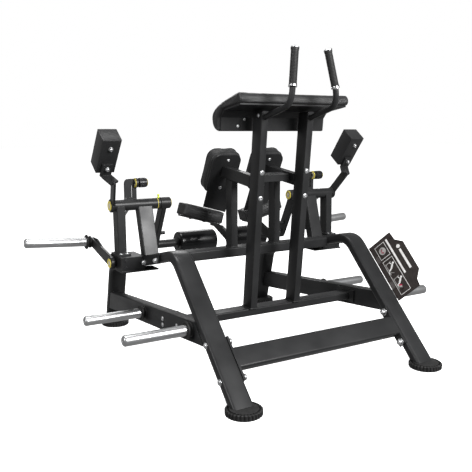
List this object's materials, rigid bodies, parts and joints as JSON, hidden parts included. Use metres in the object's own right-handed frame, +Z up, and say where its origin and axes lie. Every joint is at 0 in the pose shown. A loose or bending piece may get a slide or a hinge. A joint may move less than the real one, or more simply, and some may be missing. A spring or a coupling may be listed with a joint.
{
  "type": "kneeling leg curl machine",
  "caption": "Plate-loaded kneeling leg curl: bent tube frame, chest rest with handles, thigh and knee pads, and swinging arms with ankle rollers.",
  "frame": {"origin": "on the floor, at the centre of the bounding box's bottom face", "axes": "+X across the machine to the right of a user who kneels facing -Y, +Y from the chest rest towards the ankle rollers, +Z up"},
  "size_m": [2.1618, 1.638, 1.5244],
  "materials": {
    "frame_paint": "satin charcoal powder coat with a fine texture",
    "upholstery": "matte black vinyl with a fine grain",
    "roller_foam": "matte black skinned foam",
    "sleeve_steel": "polished steel sleeves with worn faces",
    "zinc_steel": "zinc plated, satin",
    "knob_plastic": "fine matte",
    "rubber": "matte",
    "placard_panel": "semi gloss printed panel with no lettering"
  },
  "bodies": {
    "frame": {"crossbar_front": "frame_paint", "crossbar_middle": "frame_paint", "crossbar_upper": "frame_paint", "arm_bridge": "frame_paint", "chest_pad_plate": "frame_paint", "side_frame_left": "frame_paint", "side_frame_right": "frame_paint", "side_tube_left": "frame_paint", "side_tube_right": "frame_paint", "front_post_left": "frame_paint", "front_post_right": "frame_paint", "back_post_left": "frame_paint", "back_post_right": "frame_paint", "pad_arm_left": "frame_paint", "pad_arm_right": "frame_paint", "thigh_plate_left": "frame_paint", "thigh_plate_right": "frame_paint", "knee_board_left": "frame_paint", "knee_board_right": "frame_paint", "handle_tube_left": "frame_paint", "handle_tube_right": "frame_paint", "pivot_stand_left": "frame_paint", "pivot_stand_right": "frame_paint", "lower_bracket_left": "frame_paint", "lower_bracket_right": "frame_paint", "chest_pad": "upholstery", "thigh_pad_left": "upholstery", "thigh_pad_right": "upholstery", "knee_pad_left": "upholstery", "knee_pad_right": "upholstery", "storage_horn_front_left": "sleeve_steel", "storage_horn_front_right": "sleeve_steel", "storage_horn_rear_left": "sleeve_steel", "storage_horn_rear_right": "sleeve_steel", "foot_front_left": "rubber", "foot_front_right": "rubber", "foot_rear_left": "rubber", "foot_rear_right": "rubber", "grip_left": "rubber", "grip_right": "rubber", "placard": "placard_panel"},
    "arm_left": {"working_arm_left": "frame_paint", "arm_shaft_left": "zinc_steel", "counterweight_left": "frame_paint", "counterweight_bar_left": "frame_paint"},
    "roller_left": {"ankle_roller_left": "roller_foam"},
    "lever_left": {"horn_lever_left": "frame_paint", "working_horn_left": "sleeve_steel"},
    "link_left": {"link_rod_left": "zinc_steel"},
    "knob_left": {"pull_knob_left": "knob_plastic"},
    "arm_right": {"working_arm_right": "frame_paint", "arm_shaft_right": "zinc_steel", "counterweight_right": "frame_paint", "counterweight_bar_right": "frame_paint"},
    "roller_right": {"ankle_roller_right": "roller_foam"},
    "lever_right": {"horn_lever_right": "frame_paint", "working_horn_right": "sleeve_steel"},
    "link_right": {"link_rod_right": "zinc_steel"},
    "knob_right": {"pull_knob_right": "knob_plastic"}
  },
  "joints": [
    {"name": "arm_left_swing", "type": "hinge", "parent": "frame", "child": "arm_left", "pos_m": [-0.42, 0.242, 0.775], "axis": [1, 0, 0], "range_deg": [0, 62]},
    {"name": "roller_left_spin", "type": "hinge", "parent": "arm_left", "child": "roller_left", "pos_m": [-0.17, 0.365, 0.532], "axis": [1, 0, 0], "continuous": true},
    {"name": "lever_left_swing", "type": "hinge", "parent": "frame", "child": "lever_left", "pos_m": [-0.65, 0.235, 0.482], "axis": [1, 0, 0], "range_deg": [0, 62]},
    {"name": "link_left_swing", "type": "hinge", "parent": "arm_left", "child": "link_left", "pos_m": [-0.63, 0.31572, 0.72338], "axis": [1, 0, 0], "range_deg": [-62, 0]},
    {"name": "knob_left_pull", "type": "slide", "parent": "frame", "child": "knob_left", "axis": [1, 0, 0], "range_m": [0, 0.012], "stiffness_N_per_m": 600, "springref_m": -0.01},
    {"name": "arm_right_swing", "type": "hinge", "parent": "frame", "child": "arm_right", "pos_m": [0.42, 0.242, 0.775], "axis": [1, 0, 0], "range_deg": [0, 62]},
    {"name": "roller_right_spin", "type": "hinge", "parent": "arm_right", "child": "roller_right", "pos_m": [0.17, 0.365, 0.532], "axis": [1, 0, 0], "continuous": true},
    {"name": "lever_right_swing", "type": "hinge", "parent": "frame", "child": "lever_right", "pos_m": [0.65, 0.235, 0.482], "axis": [1, 0, 0], "range_deg": [0, 62]},
    {"name": "link_right_swing", "type": "hinge", "parent": "arm_right", "child": "link_right", "pos_m": [0.63, 0.31572, 0.72338], "axis": [1, 0, 0], "range_deg": [-62, 0]},
    {"name": "knob_right_pull", "type": "slide", "parent": "frame", "child": "knob_right", "axis": [1, 0, 0], "range_m": [0, 0.012], "stiffness_N_per_m": 600, "springref_m": -0.01}
  ],
  "couplings": [
    {"joint": "lever_left_swing", "follows": "arm_left_swing", "ratio": 1},
    {"joint": "link_left_swing", "follows": "arm_left_swing", "ratio": -1},
    {"joint": "lever_right_swing", "follows": "arm_right_swing", "ratio": 1},
    {"joint": "link_right_swing", "follows": "arm_right_swing", "ratio": -1}
  ]
}
